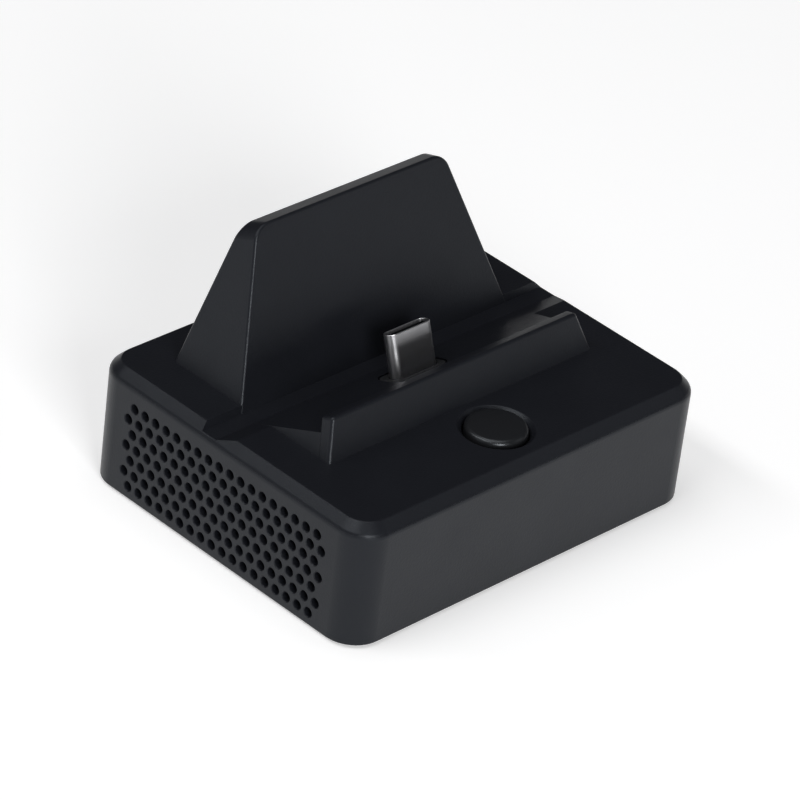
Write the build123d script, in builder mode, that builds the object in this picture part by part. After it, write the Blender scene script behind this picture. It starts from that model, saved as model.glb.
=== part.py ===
"""Dock for a handheld console: a vented box with a leaning cradle and a plug that stands up in it.

Frame: X to the right, Y to the back, Z up. The origin is on the table, under the middle of the box.
Sizes are in millimetres and degrees.
"""
import os
from math import cos, floor, radians, sin, tan

from build123d import *

# Box
body_width = 68.0
body_depth = 55.0
body_height = 20.0
corner_radius = 5.0
rim_chamfer = 1.6
wall = 2.0
deck_thickness = 2.4
foot_proud = 0.5
fit = 0.15

# Base plate with its feet and snap hooks
base_thickness = 1.2
base_rebate = 0.8
foot_length = 12.0
foot_width = 5.0
foot_corner = 1.2
foot_pocket = 0.4
foot_inset_x = 12.0
foot_inset_y = 6.5
hook_inset_x = 8.0
hook_width = 5.0
hook_thickness = 1.2
hook_height = 3.6
hook_catch = 0.5

# Grille of small holes in both side walls
grille_margin = 7.5
grille_floor = 0.75
grille_headroom = 2.9
grille_pitch = 2.2
grille_row_pitch = 2.16
hole_radius = 0.75
hole_sides = 6

# Cradle: everything in it leans back by one angle
lean_angle = 20.0
lip_setback = 15.5
lip_height = 6.2
lip_thickness = 2.3
cradle_width = 52.0
cradle_end_slope = 19.0
slot_width = 14.5
slot_floor_height = 4.0
slot_floor_thickness = 2.0
groove_depth = 1.1
rest_height = 30.0
rest_top_thickness = 3.2
rest_foot = 14.0
rest_roof = 6.0
rest_corner = 3.0
edge_break = 0.4

# Plug in the cradle
plug_width = 8.25
plug_thickness = 2.4
plug_wall = 0.3
plug_reach = 6.5
plug_mouth = 0.3
plug_tongue_slot = (6.9, 0.9, 5.5)
plug_contact = (0.25, 0.1, 3.6)
plug_contact_pitch = 0.5
plug_contact_count = 12
collar_width = 10.4
collar_thickness = 4.6
collar_corner = 1.4
collar_gap = 0.2
plug_board_drop = 5.2
plug_board_size = (25.0, 11.0, 1.0)
plug_post_spacing = 18.0
plug_post_size = 3.6
stake_size = 1.6
stake_rise = 0.8

# Main board and what stands on it
board_height = 2.6
board_thickness = 1.6
board_gap = 2.2
rib_thickness = 1.6
rib_spacing = 40.0
rib_length = 40.0
clamp_size = (2.0, 6.0)
clamp_inset = 6.0

# Sockets along the rear wall
socket_recess = 0.5
socket_sheet = 0.35
socket_gap = 0.3
core_length = 3.5
core_gap = 0.05
tongue_recess = 1.2
power_socket_x = -17.0
power_socket_size = (8.94, 3.2, 7.4)
power_tongue = (6.6, 0.7)
video_socket_x = -1.5
video_socket_size = (15.0, 5.6, 11.4)
video_socket_taper = (1.9, 2.2)
video_tongue = (11.6, 1.2)
data_socket_x = 16.0
data_socket_size = (13.2, 5.8, 14.0)
data_tongue = (11.0, 1.8)

# Button and its switch
button_setback = 8.9
button_hole_radius = 4.85
button_hole_chamfer = 0.75
button_gap = 0.25
button_crown = 0.55
button_shoulder = 0.8
button_tab = (1.6, 3.0, 0.8)
button_tab_gap = 0.3
button_post_size = 3.0
button_rest_gap = 0.05
switch_size = 6.0
switch_height = 3.5
plunger_size = 3.2
plunger_height = 1.5
plunger_gap = 0.2
plunger_well = 1.4
switch_travel = 0.6

# Link between the boards
cable_width = 10.0
cable_thickness = 0.3
cable_reach = 3.0
cable_socket_size = (12.0, 3.4, 1.5)
cable_socket_inset = 0.6

# Chips: width, depth, height, and how far in from the nearer end of the board and back from its middle
left_chips = {
    "video_chip": (9.0, 9.0, 0.9, 17.8, 6.0),
    "power_chip": (4.0, 4.0, 0.8, 12.8, -10.0),
    "power_inductor": (5.0, 5.0, 3.0, 8.3, -4.0),
}
right_chips = {
    "hub_chip": (7.0, 7.0, 0.9, 19.8, 4.0),
}
chip_edge = 0.3
capacitor_size = (2.0, 1.2, 1.2)
capacitor_pitch = 3.0
capacitor_count = (2, 4)
capacitor_inset = 9.8
capacitor_back = -10.0

# Levels and inner sizes that follow from the sizes above
seam_z = body_height - rim_chamfer
deck_under = body_height - deck_thickness
groove_z = body_height - groove_depth
base_top = foot_proud + base_thickness
board_bottom = base_top + board_height
board_top = board_bottom + board_thickness
inner_width = body_width - 2 * wall
inner_depth = body_depth - 2 * wall
inner_radius = corner_radius - wall
front_y = -body_depth / 2
rear_y = body_depth / 2
button_y = front_y + button_setback

# The leaning frame: its origin is where the lip's front face meets the deck
lean_cos = cos(radians(lean_angle))
lean_sin = sin(radians(lean_angle))
lip_y = front_y + lip_setback
lean_up = (0, lean_sin, lean_cos)
rest_back = lip_thickness + slot_width
slot_middle = lip_thickness + slot_width / 2


def leaning(back, up):
    """Y and Z of a point given by its distances behind the lip's front face and up along the lean."""
    return (lip_y + back * lean_cos + up * lean_sin, body_height - back * lean_sin + up * lean_cos)


def on_leaning_face(back, z):
    """Y and Z of the point at height z on a face that leans, a distance behind the lip's front face."""
    return leaning(back, (z - body_height + back * lean_sin) / lean_cos)


def on_floor_plane(up, z):
    """Y and Z of the point at height z on a plane square to the lean."""
    return leaning((body_height + up * lean_cos - z) / lean_sin, up)


def end_half_width(z, inset=0.0):
    """Half the cradle's width at height z, where its two ends slope inwards."""
    slope = radians(cradle_end_slope)
    return cradle_width / 2 - inset / cos(slope) - (z - body_height) * tan(slope)


def sloped_block(section, bottom, top, inset=0.0):
    """A YZ section drawn out along X, between the cradle's sloping ends."""
    with BuildPart() as block:
        with BuildSketch(Plane.XZ):
            with BuildLine():
                Polyline(
                    (-end_half_width(bottom, inset), bottom),
                    (end_half_width(bottom, inset), bottom),
                    (end_half_width(top, inset), top),
                    (-end_half_width(top, inset), top),
                    close=True,
                )
            make_face()
        extrude(amount=body_depth, both=True)
        with BuildSketch(Plane.YZ):
            with BuildLine():
                Polyline(*section, close=True)
            make_face()
        extrude(amount=body_width, both=True, mode=Mode.INTERSECT)
    return block.part


def cut_corner_outline(width, depth, corner, grow=0.0):
    """A rectangle with its corners cut off, grown on all sides."""
    half_x = width / 2 + grow
    half_y = depth / 2 + grow
    points = []
    for side_x, side_y in [(1, -1), (1, 1), (-1, 1), (-1, -1)]:
        on_side = (side_x * half_x, side_y * (half_y - corner))
        on_end = (side_x * (half_x - corner), side_y * half_y)
        points += [on_side, on_end] if side_x * side_y > 0 else [on_end, on_side]
    Polygon(*points, align=None)


def save(part, name):
    part.label = name
    export_step(part, f"parts/{name}.step")


os.makedirs("parts", exist_ok=True)

# Cradle form: lip, sloping floor, groove and backrest in one section
rest_front_foot = on_leaning_face(rest_back, body_height)
rest_rear_y = rest_front_foot[0] + rest_foot
rest_top_front = leaning(rest_back, rest_height)
rest_top_rear = leaning(rest_back + rest_top_thickness, rest_height)
groove_front = on_floor_plane(slot_floor_height, groove_z)
groove_back = on_leaning_face(rest_back, groove_z)
cradle_section = [
    on_leaning_face(0, deck_under),
    leaning(0, lip_height),
    leaning(lip_thickness, lip_height),
    leaning(lip_thickness, slot_floor_height),
    groove_front,
    groove_back,
    rest_top_front,
    rest_top_rear,
    (rest_rear_y, body_height),
    (rest_rear_y, deck_under),
]
cradle_block = sloped_block(cradle_section, deck_under, rest_top_front[1])
with BuildPart() as cradle_form:
    add(cradle_block)
    rest_top = cradle_form.faces().sort_by(Axis.Z)[-1]
    fillet(rest_top.edges().sort_by(SortBy.LENGTH)[:2], radius=rest_corner)
    leaning_faces = cradle_form.faces().filter_by(Plane(origin=(0, 0, 0), z_dir=(0, lean_cos, -lean_sin)))
    lip_face = leaning_faces.sort_by(Axis.Y)[0]
    rest_face = leaning_faces.sort_by(Axis.Y)[-1]
    lip_edges = lip_face.edges().sort_by(Axis.Z)[1:]
    rest_edges = rest_face.edges().sort_by(Axis.Z)[1:]
    chamfer(lip_edges + rest_edges, length=edge_break)

# Hollows under the sloping floor and inside the backrest, open below
rest_inner = rest_back + wall
rest_hollow_top = rest_top_rear[1] - rest_roof
rest_rear_run = (rest_rear_y - rest_top_rear[0]) / (rest_top_rear[1] - body_height)
floor_hollow = sloped_block(
    [
        on_leaning_face(lip_thickness, deck_under),
        leaning(lip_thickness, slot_floor_height - slot_floor_thickness),
        on_floor_plane(slot_floor_height - slot_floor_thickness, deck_under),
    ],
    deck_under,
    body_height + lip_height,
    wall,
)
rest_hollow = sloped_block(
    [
        on_leaning_face(rest_inner, deck_under),
        on_leaning_face(rest_inner, rest_hollow_top),
        (rest_rear_y - wall - rest_rear_run * (rest_hollow_top - body_height), rest_hollow_top),
        (rest_rear_y - wall, body_height),
        (rest_rear_y - wall, deck_under),
    ],
    deck_under,
    rest_hollow_top,
    wall,
)

# Where the plug stands: the middle of the slot's floor, with its own axis along the lean
plug_y, plug_z = leaning(slot_middle, slot_floor_height)
plug_plane = Plane(origin=(0, plug_y, plug_z), x_dir=(1, 0, 0), z_dir=lean_up)
plug_board_plane = plug_plane.offset(-plug_board_drop)

# Top cover: deck, chamfered rim and cradle, and below them what locates the boards
register_width = inner_width - 2 * fit
register_depth = inner_depth - 2 * fit
band_front = on_floor_plane(slot_floor_height, body_height)[0]
band_back = groove_back[0] + wall
clamp_spacing = inner_width - 2 * clamp_inset
with BuildPart() as top_cover:
    with BuildSketch(Plane.XY.offset(seam_z)):
        RectangleRounded(body_width, body_depth, corner_radius)
    extrude(amount=rim_chamfer, taper=45)
    with BuildSketch(Plane.XY.offset(deck_under)):
        RectangleRounded(register_width, register_depth, inner_radius)
    extrude(amount=seam_z - deck_under)
    with BuildSketch(Plane.XY.offset(groove_z - deck_thickness)):
        with Locations((0, (band_front + band_back) / 2)):
            Rectangle(register_width, band_back - band_front)
    extrude(amount=deck_under - groove_z + deck_thickness)
    with BuildSketch(Plane.YZ):
        with BuildLine():
            Polyline(
                on_floor_plane(slot_floor_height, body_height + groove_depth),
                groove_front,
                groove_back,
                on_leaning_face(rest_back, body_height + groove_depth),
                close=True,
            )
        make_face()
    extrude(amount=body_width, both=True, mode=Mode.SUBTRACT)
    add(cradle_form.part)
    add(floor_hollow, mode=Mode.SUBTRACT)
    add(rest_hollow, mode=Mode.SUBTRACT)
    with BuildSketch(Plane.XY.offset(board_top)):
        with GridLocations(clamp_spacing, 0, 2, 1):
            Rectangle(*clamp_size)
    extrude(amount=deck_under - board_top)
    with BuildSketch(plug_board_plane):
        with GridLocations(plug_post_spacing, 0, 2, 1):
            Rectangle(plug_post_size, plug_post_size)
    extrude(amount=plug_board_drop - slot_floor_thickness / 2)
    with BuildSketch(plug_board_plane.offset(-plug_board_size[2] - stake_rise)):
        with GridLocations(plug_post_spacing, 0, 2, 1):
            Rectangle(stake_size, stake_size)
    extrude(amount=plug_board_size[2] + stake_rise)
    with BuildSketch(plug_plane):
        cut_corner_outline(collar_width, collar_thickness, collar_corner, collar_gap)
    extrude(amount=-plug_board_drop, mode=Mode.SUBTRACT)
    with Locations((0, button_y, body_height)):
        Hole(button_hole_radius, depth=deck_thickness)
    button_rim = top_cover.edges().filter_by(GeomType.CIRCLE).filter_by(
        lambda edge: abs(edge.center().Y - button_y) < fit and abs(edge.center().Z - body_height) < fit
    )
    chamfer(button_rim, length=button_hole_chamfer)
save(top_cover.part, "top_cover")


def power_shape():
    SlotOverall(power_socket_size[0], power_socket_size[1])


def video_shape():
    """A rectangle whose lower corners are cut away."""
    width, height, _ = video_socket_size
    cut_x, cut_z = video_socket_taper
    Polygon(
        (-width / 2, height / 2),
        (width / 2, height / 2),
        (width / 2, cut_z - height / 2),
        (width / 2 - cut_x, -height / 2),
        (cut_x - width / 2, -height / 2),
        (-width / 2, cut_z - height / 2),
        align=None,
    )


def data_shape():
    Rectangle(data_socket_size[0], data_socket_size[1])


# Name, outline, place along the wall, size and tongue of each socket
sockets = [
    ("power_socket", power_shape, power_socket_x, power_socket_size, power_tongue),
    ("video_socket", video_shape, video_socket_x, video_socket_size, video_tongue),
    ("data_socket", data_shape, data_socket_x, data_socket_size, data_tongue),
]


def rear_plane(x, height, y):
    """Plane facing inwards at the rear, centred on a socket that stands on the board."""
    return Plane(origin=(x, y, board_top + height / 2), x_dir=(1, 0, 0), z_dir=(0, -1, 0))


# Vented body: four walls, with a rebate below for the base plate and slots for its hooks
grille_columns = floor((body_depth - 2 * grille_margin) / grille_pitch) + 1
grille_bottom = base_top + grille_floor
grille_rows = floor((seam_z - grille_headroom - grille_bottom) / grille_row_pitch) + 1
grille_places = []
for row in range(grille_rows):
    row_count = grille_columns - 1 + row % 2
    for column in range(row_count):
        hole_y = grille_pitch * (column - (row_count - 1) / 2)
        grille_places.append((hole_y, grille_bottom + row * grille_row_pitch))
hook_x = body_width / 2 - hook_inset_x
hook_top = base_top + hook_height
catch_bottom = hook_top - 2 * hook_catch
with BuildPart() as vented_body:
    with BuildSketch(Plane.XY.offset(foot_proud)):
        RectangleRounded(body_width, body_depth, corner_radius)
        RectangleRounded(inner_width, inner_depth, inner_radius, mode=Mode.SUBTRACT)
    extrude(amount=seam_z - foot_proud)
    with BuildSketch(Plane.XY.offset(foot_proud)):
        RectangleRounded(inner_width + 2 * base_rebate, inner_depth + 2 * base_rebate,
                         inner_radius + base_rebate)
    extrude(amount=base_thickness, mode=Mode.SUBTRACT)
    with BuildSketch(Plane.XY.offset(catch_bottom - fit)):
        with GridLocations(2 * hook_x, inner_depth, 2, 2):
            Rectangle(hook_width + 2 * fit, 2 * (hook_catch + fit))
    extrude(amount=hook_top - catch_bottom + 2 * fit, mode=Mode.SUBTRACT)
    for _, shape, x, size, _ in sockets:
        with BuildSketch(rear_plane(x, size[1], rear_y)):
            shape()
            offset(amount=socket_gap, kind=Kind.INTERSECTION)
        extrude(amount=wall, mode=Mode.SUBTRACT)
    with BuildSketch(Plane.YZ.offset(-body_width / 2)):
        with Locations(*grille_places):
            RegularPolygon(hole_radius, hole_sides)
    extrude(amount=body_width, mode=Mode.SUBTRACT)
save(vented_body.part, "vented_body")

# Base plate: let into the walls from below, with ribs that carry the board and four snap hooks
foot_x = body_width / 2 - foot_inset_x
foot_y = body_depth / 2 - foot_inset_y
foot_places = [(x * foot_x, y * foot_y) for x in (-1, 1) for y in (-1, 1)]
hook_face = inner_depth / 2 - fit
with BuildPart() as base_plate:
    with BuildSketch(Plane.XY.offset(foot_proud)):
        RectangleRounded(inner_width + 2 * (base_rebate - fit), inner_depth + 2 * (base_rebate - fit),
                         inner_radius + base_rebate - fit)
    extrude(amount=base_thickness)
    with BuildSketch(Plane.XY.offset(base_top)):
        with GridLocations(rib_spacing, 0, 2, 1):
            Rectangle(rib_thickness, rib_length)
    extrude(amount=board_height)
    with BuildSketch(Plane.YZ) as hook_section:
        with BuildLine():
            Polyline(
                (hook_face - hook_thickness, base_top),
                (hook_face, base_top),
                (hook_face, catch_bottom),
                (hook_face + hook_catch, catch_bottom),
                (hook_face, hook_top),
                (hook_face - hook_thickness, hook_top),
                close=True,
            )
        make_face()
        mirror(about=Plane.YZ)
    for side in (-1, 1):
        extrude(hook_section.sketch.moved(Location((side * hook_x, 0, 0))), amount=hook_width / 2, both=True)
    with BuildSketch(Plane.XY.offset(foot_proud)):
        with Locations(*foot_places):
            cut_corner_outline(foot_length, foot_width, foot_corner, fit)
    extrude(amount=foot_pocket, mode=Mode.SUBTRACT)
save(base_plate.part, "base_plate")

# Feet: four rubber pads glued into the base plate's pockets
foot_names = ["foot_front_left", "foot_rear_left", "foot_front_right", "foot_rear_right"]
for foot_name, foot_place in zip(foot_names, foot_places):
    with BuildPart() as foot:
        with BuildSketch():
            with Locations(foot_place):
                cut_corner_outline(foot_length, foot_width, foot_corner)
        extrude(amount=foot_proud + foot_pocket)
    save(foot.part, foot_name)

# Main board: lies on the base plate's ribs, under the top cover's clamps
board_width = inner_width - 2 * board_gap
board_depth = inner_depth - 2 * board_gap
with BuildPart() as main_board:
    with BuildSketch(Plane.XY.offset(board_bottom)):
        Rectangle(board_width, board_depth)
    extrude(amount=board_thickness)
save(main_board.part, "main_board")

# Sockets: a sheet-metal shell and a moulded core with its tongue
for name, shape, x, size, tongue in sockets:
    width, height, depth = size
    mouth = rear_plane(x, height, rear_y - socket_recess)
    core_face = mouth.offset(depth - socket_sheet - core_length)
    with BuildPart() as shell:
        with BuildSketch(mouth):
            shape()
        extrude(amount=depth)
        with BuildSketch(mouth):
            shape()
            offset(amount=-socket_sheet, kind=Kind.INTERSECTION, mode=Mode.REPLACE)
        extrude(amount=depth - socket_sheet, mode=Mode.SUBTRACT)
    save(shell.part, f"{name}_shell")
    with BuildPart() as core:
        with BuildSketch(core_face):
            shape()
            offset(amount=-socket_sheet - core_gap, kind=Kind.INTERSECTION, mode=Mode.REPLACE)
        extrude(amount=core_length)
        with BuildSketch(mouth.offset(tongue_recess)):
            Rectangle(*tongue)
        extrude(amount=depth - socket_sheet - core_length - tongue_recess)
    save(core.part, f"{name}_core")

# Plug: drawn steel shell, moulded insert with two rows of contacts, and a collar in the floor
tongue_width, tongue_thickness, tongue_depth = plug_tongue_slot
with BuildPart() as plug_shell:
    with BuildSketch(plug_board_plane):
        SlotOverall(plug_width, plug_thickness)
        offset(amount=-plug_wall, mode=Mode.SUBTRACT)
    extrude(amount=plug_board_drop + plug_reach)
save(plug_shell.part, "plug_shell")

insert_top = plug_plane.offset(plug_reach - plug_mouth)
with BuildPart() as plug_insert:
    with BuildSketch(plug_board_plane):
        SlotOverall(plug_width - 2 * plug_wall - 2 * core_gap, plug_thickness - 2 * plug_wall - 2 * core_gap)
    extrude(amount=plug_board_drop + plug_reach - plug_mouth)
    with BuildSketch(insert_top):
        Rectangle(tongue_width, tongue_thickness)
    extrude(amount=-tongue_depth, mode=Mode.SUBTRACT)
save(plug_insert.part, "plug_insert")

contact_width, contact_thickness, contact_length = plug_contact
with BuildPart() as plug_contacts:
    with BuildSketch(insert_top.offset(-tongue_depth)):
        with GridLocations(plug_contact_pitch, tongue_thickness - contact_thickness, plug_contact_count, 2):
            Rectangle(contact_width, contact_thickness)
    extrude(amount=contact_length)
save(plug_contacts.part, "plug_contacts")

with BuildPart() as plug_collar:
    with BuildSketch(plug_board_plane):
        cut_corner_outline(collar_width, collar_thickness, collar_corner)
        SlotOverall(plug_width + 2 * core_gap, plug_thickness + 2 * core_gap, mode=Mode.SUBTRACT)
    extrude(amount=plug_board_drop)
save(plug_collar.part, "plug_collar")

# Plug board: staked on two pins of the posts under the slot's floor
plug_board_width, plug_board_depth, plug_board_thickness = plug_board_size
plug_board_under = plug_board_plane.offset(-plug_board_thickness)
with BuildPart() as plug_board:
    with BuildSketch(plug_board_plane):
        Rectangle(plug_board_width, plug_board_depth)
        with GridLocations(plug_post_spacing, 0, 2, 1):
            Rectangle(stake_size + 2 * core_gap, stake_size + 2 * core_gap, mode=Mode.SUBTRACT)
    extrude(amount=-plug_board_thickness)
save(plug_board.part, "plug_board")

# Flat cable and its two sockets: out to the front, down, and back to the main board
cable_socket_width, cable_socket_depth, cable_socket_height = cable_socket_size
upper_back = cable_socket_inset - plug_board_depth / 2 + cable_socket_depth / 2
with BuildPart() as upper_cable_socket:
    with BuildSketch(plug_board_under):
        with Locations((0, upper_back)):
            Rectangle(cable_socket_width, cable_socket_depth)
    extrude(amount=-cable_socket_height)
save(upper_cable_socket.part, "upper_cable_socket")

upper_up = slot_floor_height - plug_board_drop - plug_board_thickness - cable_socket_height / 2
upper_mouth = leaning(slot_middle + cable_socket_inset - plug_board_depth / 2, upper_up)
cable_front = leaning(slot_middle + cable_socket_inset - plug_board_depth / 2 - cable_reach, upper_up)
lower_z = board_top + cable_socket_height / 2
with BuildPart() as lower_cable_socket:
    with BuildSketch(Plane.XY.offset(board_top)):
        with Locations((0, upper_mouth[0] + cable_socket_depth / 2)):
            Rectangle(cable_socket_width, cable_socket_depth)
    extrude(amount=cable_socket_height)
save(lower_cable_socket.part, "lower_cable_socket")

with BuildPart() as flat_cable:
    with BuildSketch(Plane.YZ):
        with BuildLine():
            Polyline(upper_mouth, cable_front, (cable_front[0], lower_z), (upper_mouth[0], lower_z))
        trace(line_width=cable_thickness)
    extrude(amount=cable_width / 2, both=True)
save(flat_cable.part, "flat_cable")

# Switch on the main board under the button, with a square stem
switch_top = board_top + switch_height
plunger_top = switch_top + plunger_height
with BuildPart() as switch_body:
    with BuildSketch(Plane.XY.offset(board_top)):
        with Locations((0, button_y)):
            Rectangle(switch_size, switch_size)
    extrude(amount=switch_height)
    with BuildSketch(Plane.XY.offset(switch_top - plunger_well)):
        with Locations((0, button_y)):
            Rectangle(plunger_size + 2 * plunger_gap, plunger_size + 2 * plunger_gap)
    extrude(amount=plunger_well, mode=Mode.SUBTRACT)
save(switch_body.part, "switch_body")

plunger_bottom = switch_top - plunger_well + switch_travel + plunger_gap
with BuildPart() as switch_plunger:
    with BuildSketch(Plane.XY.offset(plunger_bottom)):
        with Locations((0, button_y)):
            Rectangle(plunger_size, plunger_size)
    extrude(amount=plunger_top - plunger_bottom)
save(switch_plunger.part, "switch_plunger")

# Button cap: round-shouldered top, two tabs that catch under the deck, and a post down to the switch
cap_radius = button_hole_radius - button_gap
tab_reach, tab_width, tab_height = button_tab
cap_top = body_height + button_crown
cap_bottom = deck_under - button_tab_gap - tab_height
post_bottom = plunger_top + button_rest_gap
with BuildPart() as button_cap:
    with BuildSketch(Plane.XY.offset(cap_bottom)):
        with Locations((0, button_y)):
            Circle(cap_radius)
    extrude(amount=cap_top - cap_bottom)
    fillet(button_cap.edges().sort_by(Axis.Z)[-1], radius=button_shoulder)
    with BuildSketch(Plane.XY.offset(post_bottom)):
        with Locations((0, button_y)):
            Rectangle(button_post_size, button_post_size)
    extrude(amount=cap_bottom - post_bottom)
    with BuildSketch(Plane.XY.offset(cap_bottom)):
        with Locations((0, button_y)):
            Rectangle(2 * (cap_radius + tab_reach), tab_width)
    extrude(amount=tab_height)
save(button_cap.part, "button_cap")

# Chips and capacitors on the main board
for end, chips in ((-1, left_chips), (1, right_chips)):
    for chip_name, (width, depth, height, inset, back) in chips.items():
        with BuildPart() as chip:
            with BuildSketch(Plane.XY.offset(board_top)):
                with Locations((end * (board_width / 2 - inset), back)):
                    Rectangle(width, depth)
            extrude(amount=height)
            chamfer(chip.faces().sort_by(Axis.Z)[-1].edges(), length=chip_edge)
        save(chip.part, chip_name)

with BuildPart() as capacitors:
    with BuildSketch(Plane.XY.offset(board_top)):
        with Locations((board_width / 2 - capacitor_inset, capacitor_back)):
            with GridLocations(capacitor_pitch, capacitor_pitch, *capacitor_count):
                Rectangle(capacitor_size[0], capacitor_size[1])
    extrude(amount=capacitor_size[2])
save(capacitors.part, "capacitors")
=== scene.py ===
"""Looks of a small dock: moulded box, perforated side walls, leaning cradle with a plug, push button."""
import math

import bmesh
import bpy
from mathutils import Matrix, Quaternion, Vector


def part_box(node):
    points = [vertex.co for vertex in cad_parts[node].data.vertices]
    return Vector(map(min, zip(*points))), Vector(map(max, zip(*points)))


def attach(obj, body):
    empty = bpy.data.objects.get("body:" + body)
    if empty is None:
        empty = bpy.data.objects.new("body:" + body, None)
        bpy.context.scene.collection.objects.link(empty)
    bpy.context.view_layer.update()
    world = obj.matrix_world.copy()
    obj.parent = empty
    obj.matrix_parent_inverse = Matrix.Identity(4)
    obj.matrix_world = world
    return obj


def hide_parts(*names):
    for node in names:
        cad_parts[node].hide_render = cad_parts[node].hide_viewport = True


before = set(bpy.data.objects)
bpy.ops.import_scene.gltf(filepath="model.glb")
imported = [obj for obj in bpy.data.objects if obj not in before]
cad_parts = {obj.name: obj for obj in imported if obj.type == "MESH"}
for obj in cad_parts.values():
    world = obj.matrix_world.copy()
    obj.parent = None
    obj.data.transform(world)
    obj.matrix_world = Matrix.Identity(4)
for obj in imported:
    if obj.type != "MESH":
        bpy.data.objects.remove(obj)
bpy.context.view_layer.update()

# Base plate: the flat bottom cover, moulded in the same charcoal plastic as the walls.
# It is let into the walls from below and held by snap hooks, so it shows only a thin joint.
MM = 0.001
charcoal = (0.0084, 0.0091, 0.012)


class Field:
    """A socket of a node tree. Arithmetic on it adds Math nodes to that tree."""

    def __init__(self, tree, socket):
        self.tree = tree
        self.socket = socket

    @staticmethod
    def node(tree, kind, settings=None, inputs=None, output=0):
        """Adds a node: its settings first, then the values or links of its sockets."""
        made = tree.nodes.new(kind)
        for name, value in (settings or {}).items():
            if name == "stops":
                for stop, (place, colour) in zip(made.color_ramp.elements, value):
                    stop.position = place
                    stop.color = colour
            else:
                setattr(made, name, value)
        for name, value in (inputs or {}).items():
            links = value if isinstance(value, list) else [value]
            for link in links:
                if isinstance(link, Field):
                    tree.links.new(link.socket, made.inputs[name])
                else:
                    made.inputs[name].default_value = link
        return Field(tree, made.outputs[output])

    def math(self, operation, first, second):
        return Field.node(self.tree, "ShaderNodeMath", {"operation": operation}, {0: first, 1: second})

    def __add__(self, other):
        return self.math("ADD", self, other)

    def __sub__(self, other):
        return self.math("SUBTRACT", self, other)

    def __rsub__(self, other):
        return self.math("SUBTRACT", other, self)

    def __mul__(self, other):
        return self.math("MULTIPLY", self, other)

    def above(self, level):
        return self.math("GREATER_THAN", self, level)

    __radd__ = __add__
    __rmul__ = __mul__


def noise(tree, size, detail=2.0, stretch=(1.0, 1.0, 1.0)):
    """Noise on the object's own coordinates, with features of about the given size in metres."""
    place = Field.node(tree, "ShaderNodeTexCoord", output="Object")
    place = Field.node(tree, "ShaderNodeMapping", None, {"Vector": place, "Scale": stretch})
    return Field.node(tree, "ShaderNodeTexNoise", None, {
        "Vector": place, "Scale": 1 / size, "Detail": detail,
    })


def swing(tree, size, amount, stretch=(1.0, 1.0, 1.0)):
    """Noise, which runs from 0 to 1, made to swing about zero over the given amount."""
    return amount * (noise(tree, size, stretch=stretch) - 0.5)


def blend_colours(tree, amount, first, second):
    """The first colour where the amount is 0, the second where it is 1."""
    settings = {"data_type": "RGBA", "clamp_factor": True}
    return Field.node(tree, "ShaderNodeMix", settings, {0: amount, 6: first, 7: second}, output=2)


def surface(name, colour, roughness, relief=None, depth=0.0, **fixed):
    """A material. Colour, roughness and relief are functions of its node tree, the rest is fixed."""
    material = bpy.data.materials.new(name)
    material.use_nodes = True
    tree = material.node_tree
    shader = tree.nodes["Principled BSDF"]
    for socket, value in fixed.items():
        shader.inputs[socket.replace("_", " ")].default_value = value
    tree.links.new(colour(tree).socket, shader.inputs["Base Color"])
    tree.links.new(roughness(tree).socket, shader.inputs["Roughness"])
    if relief:
        bump = Field.node(tree, "ShaderNodeBump", None, {"Height": relief(tree), "Distance": depth})
        tree.links.new(bump.socket, shader.inputs["Normal"])
    return material


def moulded_finish(name, colour, roughness, grain, depth, specular):
    """The finish that a mould leaves: fine grain, cloudy tone, and gloss that varies a little."""
    cloud_size = 12 * MM
    cloud_share = 0.7
    light_share = 1.18
    dark_share = 0.86
    patch_size = 5 * MM
    patch_gloss = 0.1
    grain_gloss = 0.06
    grain_detail = 3.0
    cool_tint = (0.88, 0.94, 1, 1)
    light = tuple(light_share * part for part in colour) + (1.0,)
    dark = tuple(dark_share * part for part in colour) + (1.0,)

    def tone(tree):
        clouds = noise(tree, cloud_size) * cloud_share + noise(tree, grain) * (1 - cloud_share)
        return blend_colours(tree, clouds, dark, light)

    def gloss(tree):
        return roughness + swing(tree, patch_size, patch_gloss) + swing(tree, 2 * grain, grain_gloss)

    def relief(tree):
        return noise(tree, grain, grain_detail)

    return surface(
        name, tone, gloss, relief, depth, Specular_IOR_Level=specular, Specular_Tint=cool_tint)


def dress(node, material):
    """Gives a CAD node its material."""
    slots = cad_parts[node].data.materials
    slots.clear()
    slots.append(material)


housing_plastic = moulded_finish(
    "housing_plastic", charcoal, roughness=0.38, grain=0.3 * MM, depth=0.02 * MM, specular=0.27)
dress("base_plate", housing_plastic)

# Feet: four soft rubber pads, die cut with rounded corners, glued into pockets of the base plate.
# Their faces carry a fine ribbed texture so that they grip the table.
foot_corner = 1.2 * MM
foot_corner_steps = 6
foot_edge = 0.2 * MM
foot_sharp_angle = 50
rubber_dark = (0.012, 0.012, 0.013, 1)
rubber_light = (0.026, 0.026, 0.027, 1)
rubber_roughness = 0.72
rib_stretch = (0.15, 1.0, 1.0)

# The middle of a small rounded edge lies this share of its radius in from both faces
edge_middle = 0.3


def rounded(corners, radius, steps):
    """A convex outline, drawn anticlockwise, with its corners rounded."""
    points = []
    for before, corner, after in zip(corners[-1:] + corners[:-1], corners, corners[1:] + corners[:1]):
        corner = Vector(corner)
        arriving = (corner - Vector(before)).normalized()
        leaving = (Vector(after) - corner).normalized()
        turn = arriving.angle(leaving)
        start = corner - arriving * radius * math.tan(turn / 2)
        inward = Vector((-arriving.y, arriving.x))
        centre = start + inward * radius
        for step in range(steps + 1):
            spoke = -inward * radius
            spoke.rotate(Matrix.Rotation(turn * step / steps, 2))
            points.append(centre + spoke)
    return points


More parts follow.
